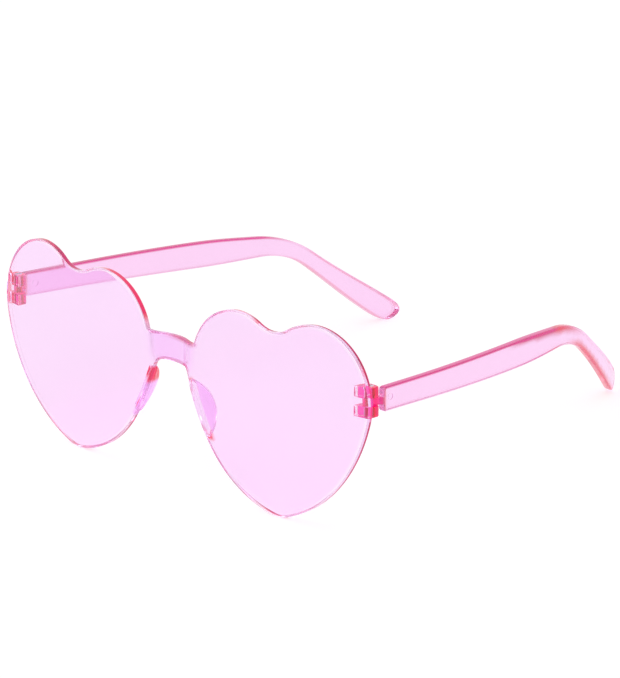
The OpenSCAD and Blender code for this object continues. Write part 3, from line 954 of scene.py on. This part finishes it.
def ear_outline(plan):
    """One ear in plan: root in the lens, a slant at the inner rear and a round outer corner."""
    f, h = plan.f, plan.h
    root = plan.lens_y(h.pin_x, h.hinge_z, f.lens_t) - f.root_share * f.lens_t
    rear, out, inside = h.pin_y + h.ear_back, h.pin_x + h.ear_out, h.pin_x - h.ear_in
    corners = [
        (inside, root), (out, root), (out, rear),
        (inside + h.ear_slant, rear), (inside, rear - h.ear_slant_d),
    ]
    radii = [EAR_ROOT_ROUND, EAR_ROOT_ROUND, h.ear_corner_r, SLANT_ROUND, SLANT_ROUND]
    return evenly(rounded([np.array(c) for c in corners], radii), CORNER_STEP)


class SUNGLASSES_OT_front(bpy.types.Operator):
    """Build the front: lenses, bridge, nose pads and hinge ears in one moulding"""

    bl_idname = "sunglasses.front"
    bl_label = "Front moulding"

    def execute(self, context):
        plan = FrontPlan(context.scene)
        finish = context.scene.sunglasses_finish
        f, h = plan.f, plan.h
        outline = plan.outline()
        # Extra rings in the wall where the painted dark line of the rim starts.
        line_rings = [[0, low + rise] for low in (f.line_share_far, f.line_share)
                      for rise in (0, LINE_STEP)]
        front_rim = np.vstack([round_edge(f.front_rim, f.front_rim / f.lens_t), line_rings])
        front = mesh_object("front_plate", *slab(
            outline, [front_rim, tapered_edge(f.back_rim, f.back_rim_share)],
            lambda x, z: plan.face(x, z, 0), lambda x, z: plan.face(x, z, 1),
            (0, 2, 1), lattice(outline, PLATE_STEP, FINE_STEP),
        ))
        slot_half = h.knuckle_h / 2 + h.knuckle_gap
        top, bottom = h.hinge_z + slot_half + h.ear_h, h.hinge_z - slot_half - h.ear_h
        ear = ear_outline(plan)
        shapes = [pad_solid(plan)]
        for low, high in ((bottom, h.hinge_z - slot_half), (h.hinge_z + slot_half, top)):
            shapes.append(level_plate(ear, h.ear_round, low, high))
        parts = [mesh_object("part", on_side(points, side), faces)
                 for side in SIDE_NAMES for points, faces in shapes]
        combine(front, parts, "UNION")
        bores = ((bottom - MM, h.screw_d), (top - h.head_h - h.ear_fit, h.head_d))
        cuts = [prism(circle((side * h.pin_x, h.pin_y), d / 2 + h.ear_fit), low, top + MM)
                for side in SIDE_NAMES for low, d in bores]
        combine(front, cuts, "DIFFERENCE")
        self.tint(front, plan, outline, finish)
        material = tinted_plastic("tinted_plastic_front", finish, FRONT_TINT, FRONT_DENSITY)
        finish_piece(front, "front_moulding", "front", "front", material)
        return {"FINISHED"}

    def tint(self, front, plan, outline, finish):
        """Painted light on the front: lightened rims with a dark line for light trapped in them,
        lilac pads painted much deeper on the left, hot pink hinges (thick plastic and painted glow)
        and a crimson glow painted in the corners.

        far is the distance from the outline, and depth runs from 0 on the front face to 1 on the
        rear one. Each soft step says where it starts and where it is full.
        """
        f, p, h = plan.f, plan.p, plan.h
        co = points_of(front)
        x, z, left = np.abs(co[:, 0]), co[:, 2], co[:, 0] < 0
        far, (side, up) = edge_of(outline, co[:, [0, 2]])
        front_y, back_y = (plan.face(co[:, 0], z, behind) for behind in (0, 1))
        depth = (co[:, 1] - front_y) / (back_y - front_y)
        half, along = p.pad_len / 2, z + p.pad_drop
        plate = (depth < 1.1) & (far < 0.6 * MM)
        bridge = 1 - plan.lens_share(co[:, 0], z)
        padded = (x < h.pin_x / 4) * smooth(half + MM, half, np.abs(along))
        # Painted light: rims are painted only on walls that face right or up (lit) and on those
        # that face down.
        lit = smooth(-0.1, 0.5, side + 0.5 * np.maximum(up, 0))
        rim = plate * (1 - bridge) * (1 - padded) * np.maximum(lit, smooth(-0.9, -0.98, up))
        # Painted shade: on the left lens above the bridge the dark line starts nearer the front, so
        # it is painted wider.
        wide = left * smooth(f.bridge_top_z - 3 * MM, f.bridge_top_z + 1 * MM, z)
        start = f.line_share + (f.line_share_far - f.line_share) * wide
        rim_line = rim * smooth(start, start + LINE_STEP, depth)
        # Painted glow: near the nose, above the bridge, the rim's line is painted crimson instead
        # of dark.
        nasal = smooth(34 * MM, 26 * MM, x) * smooth(f.bridge_top_z, f.bridge_top_z + 3 * MM, z)
        # Painted glow along the edges of the bridge that face up, stronger to the right, and
        # fainter along those that face down.
        top = (depth < 1.1) * smooth(1.4 * MM, 0.6 * MM, far) * smooth(0.3, 0.8, up)
        under = plate * bridge * smooth(-0.3, -0.8, up)
        # Hot pink on the ears behind the lens. Painted glow where the rim's line nears the hinge,
        # in a crimson strip by the left hinge and in the ears' outer rear corners.
        at_hinge = x > h.pin_x - 2 * h.ear_in
        outer = at_hinge * smooth(4.8 * MM, 4.2 * MM, np.abs(z - h.hinge_z))
        ears = at_hinge * smooth(1.05, 1.25, depth)
        strip = left * outer * smooth(2.6 * MM, 1.6 * MM, far) * (depth > 0.4)
        corner = ears * smooth(h.pin_x + 0.8 * MM, h.pin_x + 1.7 * MM, x)
        # Lilac on the pads, painted much deeper on the left than on the right as painted light.
        pads = smooth(1.0, 1.4, depth) * (x < h.pin_x / 2)
        root = plate * padded
        lilac = np.where(left, np.maximum(root, pads * smooth(2.9, 1.6, depth)), 0.25 * pads)
        # Painted glow at the pads' ends: crimson and salmon near the top of the left pads, and
        # along a band by the edge at both ends of the right pads.
        pad_glow_band = padded * (depth > 0.6) * (depth < 1.2) * smooth(1.9 * MM, 1.3 * MM, far)
        upper = np.where(
            left,
            np.maximum(root, pads) * smooth(half - 5.5 * MM, half - 4 * MM, along),
            pad_glow_band * smooth(half - 4 * MM, half - 3 * MM, along),
        )
        lower = pad_glow_band * smooth(2.4 * MM - half, 1.6 * MM - half, along) * ~left
        paint(front, finish.front, [
            # Painted light: the rim's wall, lightened.
            (finish.clear, rim * (depth > -0.1)),
            (finish.lilac, np.maximum(lilac, 0.34 * bridge)),
            # Painted shade: the rim's dark line, left out near the nose and the hinges.
            (finish.rim, rim_line * (1 - nasal) * (1 - outer)),
            # Painted glow, crimson: the rim's line near the nose and a strip by the left hinge.
            (finish.crimson, np.maximum(rim_line * nasal, 0.85 * strip)),
            # Painted glow along the bridge's upper and lower edges.
            (finish.painted_edge_glow, top * bridge * smooth(-6 * MM, 3 * MM, co[:, 0])),
            (finish.painted_edge_glow, 0.5 * under),
            # The ears' deeper tint, and painted glow where the rim's line nears the hinge.
            (finish.hot_pink, np.maximum(ears, rim_line * outer)),
            # Painted glow in the ears' corners and at the pads' ends.
            (finish.crimson, np.maximum(corner, np.maximum(upper, lower))),
            (finish.salmon, 0.6 * upper * smooth(2.0, 2.6, depth)),
        ])


class SUNGLASSES_OT_temples(bpy.types.Operator):
    """Build both temples with their hinge knuckles"""

    bl_idname = "sunglasses.temples"
    bl_label = "Temples"

    def execute(self, context):
        plan = TemplePlan(context.scene)
        finish = context.scene.sunglasses_finish
        t, h = plan.t, plan.h
        outline = plan.outline()
        half_t = t.temple_t / 2
        points, faces = slab(
            outline, 2 * [round_edge(t.edge_r, t.edge_r / t.temple_t, ARM_ROUND_STEPS)],
            lambda y, z: plan.face_x(y, -half_t), lambda y, z: plan.face_x(y, half_t),
            (2, 0, 1), lattice(outline, ARM_STEP),
        )
        lug_points, lug_faces = self.knuckle(plan)
        material = tinted_plastic("tinted_plastic_temples", finish, TEMPLE_TINT, TEMPLE_DENSITY)
        for side, side_name in SIDE_NAMES.items():
            arm = mesh_object("arm", on_side(points, side), faces)
            lug = mesh_object("knuckle", on_side(lug_points, side), lug_faces)
            combine(arm, [lug], "UNION")
            bore = circle((side * h.pin_x, h.pin_y), h.screw_d / 2 + h.knuckle_fit)
            hole = prism(bore, h.hinge_z - h.knuckle_h, h.hinge_z + h.knuckle_h)
            combine(arm, [hole, self.mark(plan, side)], "DIFFERENCE")
            self.tint(arm, plan, outline, finish)
            name = f"temple_{side_name}"
            finish_piece(arm, f"{name}_arm", name, name, material)
        return {"FINISHED"}

    def tint(self, arm, plan, outline, finish):
        """Painted light on a temple: a pink glow painted along the top edge and faintly round the
        walls, a glow painted in the near bend and one under the ear piece.

        far is the distance from the outline. Each soft step says where it starts and where it is
        full.
        """
        co = points_of(arm)
        near, y = co[:, 0] > 0, co[:, 1]
        far, (back, up) = edge_of(outline, co[:, [1, 2]])
        # Painted glow: faint pink round the walls, a band along the top edge where it faces up,
        # wider on the near temple towards the bend, and salmon in the near bend.
        wall = 1 - smooth(0.3 * MM, 0.7 * MM, far)
        bend_y, ear_y = plan.middle(plan.t.arm_len)[0], plan.middle(plan.ear_start)[0]
        reach = 0.7 * MM + 1.7 * MM * near * smooth(bend_y - 26 * MM, bend_y - 4 * MM, y)
        band = 1 - smooth(0.4 * reach, reach, far)
        top = band * smooth(0.3, 0.8, up) * (1 - smooth(bend_y, ear_y, y))
        bend = near * top * smooth(bend_y - 3 * MM, bend_y + 1 * MM, y)
        # Painted glow under the ear piece, stronger on the near temple, and a salmon line and a
        # little hot pink painted on the front end's wall; the knuckle is all hot pink.
        under = np.where(near, 1 - smooth(0.5 * MM, 1.6 * MM, far), 0.5 * wall)
        under_ear = under * smooth(0.1, 0.5, -back) * smooth(bend_y, ear_y, y)
        end = smooth(0.5, 0.9, -back) * (y < plan.front_y + 2 * MM)
        end_line = end * smooth(0.1 * MM, 0.3 * MM, far) * smooth(0.75 * MM, 0.5 * MM, far)
        end_wall = end * smooth(0.3 * MM, 0.1 * MM, far)
        lug = (y < plan.front_y - 0.2 * MM).astype(float)
        glow = np.maximum(0.8 * np.maximum(bend, end_line), 0.9 * under_ear)
        paint(arm, finish.temple, [
            # Painted glow along the top edge and round the walls.
            (finish.painted_edge_glow, np.maximum(top, 0.2 * wall * (1 - end))),
            # Painted glow in the near bend, under the ear piece and along the front end.
            (finish.salmon, glow),
            # Hot pink on the knuckle, and a little painted glow on the front end's wall.
            (finish.hot_pink, np.maximum(lug, 0.3 * end_wall)),
        ])

    def knuckle(self, plan):
        """The round about the screw and the web that runs out to the arm."""
        t, h, y = plan.t, plan.h, plan.front_y
        corners = [
            (t.temple_x + t.temple_t / 2 * plan.toe[0], y),
            (t.temple_x + t.temple_t / 4, y + t.temple_t / 2),
            (t.temple_x - t.temple_t / 4, y + t.temple_t / 2),
            (t.temple_x - t.temple_t / 2, y),
        ]
        mid, side = np.array([h.pin_x, h.pin_y]), np.array([h.knuckle_r, 0])
        outline = [np.array(c) for c in corners] + arc(mid, mid - side, mid + side, 1)
        return level_plate(
            evenly(outline + [mid + side], KNUCKLE_STEP), h.knuckle_round,
            h.hinge_z - h.knuckle_h / 2, h.hinge_z + h.knuckle_h / 2,
        )

    def mark(self, plan, side):
        """The cutter for the shallow round mark that the mould leaves inside the arm."""
        t = plan.t
        cutter = prism(circle((0, 0), t.mark_d / 2), -t.mark_d, t.mark_depth)
        end = np.array([t.temple_x, plan.front_y])
        at = end + t.mark_run * left_of(plan.toe) - t.temple_t / 2 * plan.toe
        turn = Matrix.Rotation(t.toe_in, 4, "Z") @ Matrix.Rotation(math.pi / 2, 4, "Y")
        cutter.data.transform(Matrix.Translation((*at, t.temple_z)) @ turn)
        if side < 0:
            cutter.data.transform(Matrix.Scale(-1, 4, (1, 0, 0)))
            cutter.data.flip_normals()
        return cutter


class SUNGLASSES_OT_screws(bpy.types.Operator):
    """Build the two slotted hinge screws"""

    bl_idname = "sunglasses.screws"
    bl_label = "Hinge screws"

    def execute(self, context):
        h = context.scene.sunglasses_hinges
        half = h.knuckle_h / 2 + h.knuckle_gap + h.ear_h
        top, bottom = h.hinge_z + half, h.hinge_z - half
        head_r, shank_r, soft = h.head_d / 2, h.screw_d / 2, SCREW_ROUND
        profile = [
            (shank_r - soft, bottom), (shank_r, bottom + soft), (shank_r, top - h.head_h),
            (head_r, top - h.head_h), (head_r, top - soft),
            (head_r - soft / 2, top - soft / 4), (head_r - 2 * soft, top),
        ]
        material = turned_steel(context.scene.sunglasses_finish)
        for side, side_name in SIDE_NAMES.items():
            mid = np.array([side * h.pin_x, h.pin_y])
            slot = [mid + [u * h.slot_w / 2, v * h.head_d] for u, v in CORNERS]
            slot_low = top - h.slot_depth
            screw = self.lathe(profile, mid)
            combine(screw, [prism(slot, slot_low, slot_low + h.head_h)], "DIFFERENCE")
            name = f"hinge_screw_{side_name}"
            finish_piece(screw, f"{name}_turned", "front", name, material, 25)
        return {"FINISHED"}

    def lathe(self, profile, mid):
        """Turns a profile of (radius, height) places about an upright line and closes its ends."""
        points = [(*mid, z) for r, z in (profile[0], profile[-1])]
        rings = []
        for r, z in profile:
            rings.append(range(len(points), len(points) + SIDES))
            points += [(*place, z) for place in circle(mid, r)]
        faces = []
        for i in range(SIDES):
            j = (i + 1) % SIDES
            faces += [[0, rings[0][j], rings[0][i]], [1, rings[-1][i], rings[-1][j]]]
            faces += [[a[i], a[j], b[j], b[i]] for a, b in zip(rings, rings[1:])]
        return mesh_object("screw", points, faces)


# Stage.


class StageSizes(bpy.types.PropertyGroup):
    """Camera, light and floor."""

    azimuth: angle("Camera azimuth", "Turn of the camera round the glasses", 48.842)
    elevation: angle("Camera elevation", "Height of the camera over the front's own level", 16.618)
    roll: angle("Camera roll", "Turn of the camera about its own line of sight", -0.43)
    distance: length("Camera distance", "Distance of the camera from its target", 1576.3)
    target_x: length("Target, sideways", "Place that the camera looks at", 56.48)
    target_z: length("Target, height", "Place that the camera looks at", 23.27)
    focal_px: FloatProperty(
        name="Focal length", description="Focal length in pixels of the picture", default=6057.855
    )
    world_level: share("Surround light", "Strength of the light from all round", 0.62)
    white_level: share("Backdrop white", "Level at which the backdrop is seen", 1.0)
    sun_level: FloatProperty(name="Sun", description="Strength of the soft sun", default=1.0)


def seen_directly(tree, level, white):
    """A strength that is white for the camera, gloss and glass, and level for other light."""
    light = add(tree, "LightPath").outputs
    most = light["Is Camera Ray"]
    for ray in ("Is Glossy Ray", "Is Transmission Ray"):
        most = add(tree, "Math", {0: most, 1: light[ray]}, operation="MAXIMUM")
    return add(tree, "MapRange", {"Value": most, "To Min": level, "To Max": white})


class SUNGLASSES_OT_stage(bpy.types.Operator):
    """Build the surround, the floor, the sun and the camera"""

    bl_idname = "sunglasses.stage"
    bl_label = "Stage"

    def execute(self, context):
        scene = context.scene
        scene.view_settings.view_transform = "Standard"
        rays = scene.cycles
        rays.max_bounces = rays.glossy_bounces = rays.transmission_bounces = GLASS_BOUNCES
        self.world(scene)
        self.floor(scene)
        self.sun(scene)
        self.camera(scene)
        return {"FINISHED"}

    def world(self, scene):
        """Even light for the object, and plain white where it is looked at."""
        sizes = scene.sunglasses_stage
        scene.world = bpy.data.worlds.new("surround")
        scene.world.use_nodes = True
        tree = scene.world.node_tree
        strength = seen_directly(tree, sizes.world_level, sizes.white_level)
        feed(tree, tree.nodes["Background"], {"Color": (1, 1, 1, 1), "Strength": strength})

    def floor(self, scene):
        """A pale floor that looks white and keeps the object's shadow."""
        corners = [(FLOOR_REACH * u, FLOOR_REACH * v, 0) for u, v in CORNERS]
        floor = mesh_object("floor", corners, [[0, 1, 2, 3]])
        material, tree = new_material("stage_floor")
        shader = add(tree, "BsdfPrincipled", {
            "Base Color": (*scene.sunglasses_finish.floor, 1), "Roughness": 1,
            "Specular IOR Level": 0, "Emission Color": (1, 1, 1, 1),
            "Emission Strength": seen_directly(tree, 0, FLOOR_GLOW),
        })
        add(tree, "OutputMaterial", {"Surface": shader})
        floor.data.materials.append(material)
        floor.location.z = -FLOOR_GAP

    def sun(self, scene):
        """One wide, soft sun for the shadow."""
        sun = bpy.data.lights.new("soft_sun", "SUN")
        sun.energy = scene.sunglasses_stage.sun_level
        sun.angle = math.radians(40)
        holder = bpy.data.objects.new("soft_sun", sun)
        holder.rotation_euler = (math.radians(28), math.radians(-18), 0)
        scene.collection.objects.link(holder)

    def camera(self, scene):
        """The camera at the photograph's angle, set out in the front frame."""
        sizes = scene.sunglasses_stage
        a, e, roll = sizes.azimuth, sizes.elevation, sizes.roll
        back = Vector((math.sin(a) * math.cos(e), -math.cos(a) * math.cos(e), math.sin(e)))
        right = Vector((math.cos(a), math.sin(a), 0))
        up = back.cross(right)
        turned = math.cos(roll) * right + math.sin(roll) * up
        raised = -math.sin(roll) * right + math.cos(roll) * up
        pose = Matrix((turned, raised, back)).transposed().to_4x4()
        pose.translation = Vector((sizes.target_x, 0, sizes.target_z)) + sizes.distance * back
        data = bpy.data.cameras.new("camera")
        data.sensor_width = 36
        data.lens = sizes.focal_px * data.sensor_width / PIXELS_HIGH
        data.clip_start, data.clip_end = 0.05, 30
        camera = bpy.data.objects.new("camera", data)
        camera.matrix_world = standing_matrix() @ pose
        scene.collection.objects.link(camera)
        scene.camera = camera


class SUNGLASSES_PT_panel(bpy.types.Panel):
    """Sizes, colours and building steps of the sunglasses"""

    bl_idname = "SUNGLASSES_PT_panel"
    bl_label = "Sunglasses"
    bl_space_type = "VIEW_3D"
    bl_region_type = "UI"
    bl_category = "Sunglasses"

    def draw(self, context):
        for title, name, group in GROUPS:
            box = self.layout.box()
            box.label(text=title)
            for key in group.__annotations__:
                box.prop(getattr(context.scene, name), key)
        for operator in OPERATORS:
            self.layout.operator(operator.bl_idname)


GROUPS = (
    ("Front", "sunglasses_front", FrontSizes),
    ("Nose pads", "sunglasses_pads", PadSizes),
    ("Hinges", "sunglasses_hinges", HingeSizes),
    ("Temples", "sunglasses_temples", TempleSizes),
    ("Finish", "sunglasses_finish", FinishColours),
    ("Stage", "sunglasses_stage", StageSizes),
)
OPERATORS = (
    SUNGLASSES_OT_front,
    SUNGLASSES_OT_temples,
    SUNGLASSES_OT_screws,
    SUNGLASSES_OT_stage,
)


def register():
    for _, name, group in GROUPS:
        bpy.utils.register_class(group)
        setattr(bpy.types.Scene, name, PointerProperty(type=group))
    for cls in (*OPERATORS, SUNGLASSES_PT_panel):
        bpy.utils.register_class(cls)


def unregister():
    for cls in (SUNGLASSES_PT_panel, *OPERATORS[::-1]):
        bpy.utils.unregister_class(cls)
    for _, name, group in GROUPS[::-1]:
        delattr(bpy.types.Scene, name)
        bpy.utils.unregister_class(group)


def main():
    """Builds every piece and the stage."""
    register()
    bpy.ops.sunglasses.front()
    bpy.ops.sunglasses.temples()
    bpy.ops.sunglasses.screws()
    bpy.ops.sunglasses.stage()


if __name__ == "__main__":
    main()
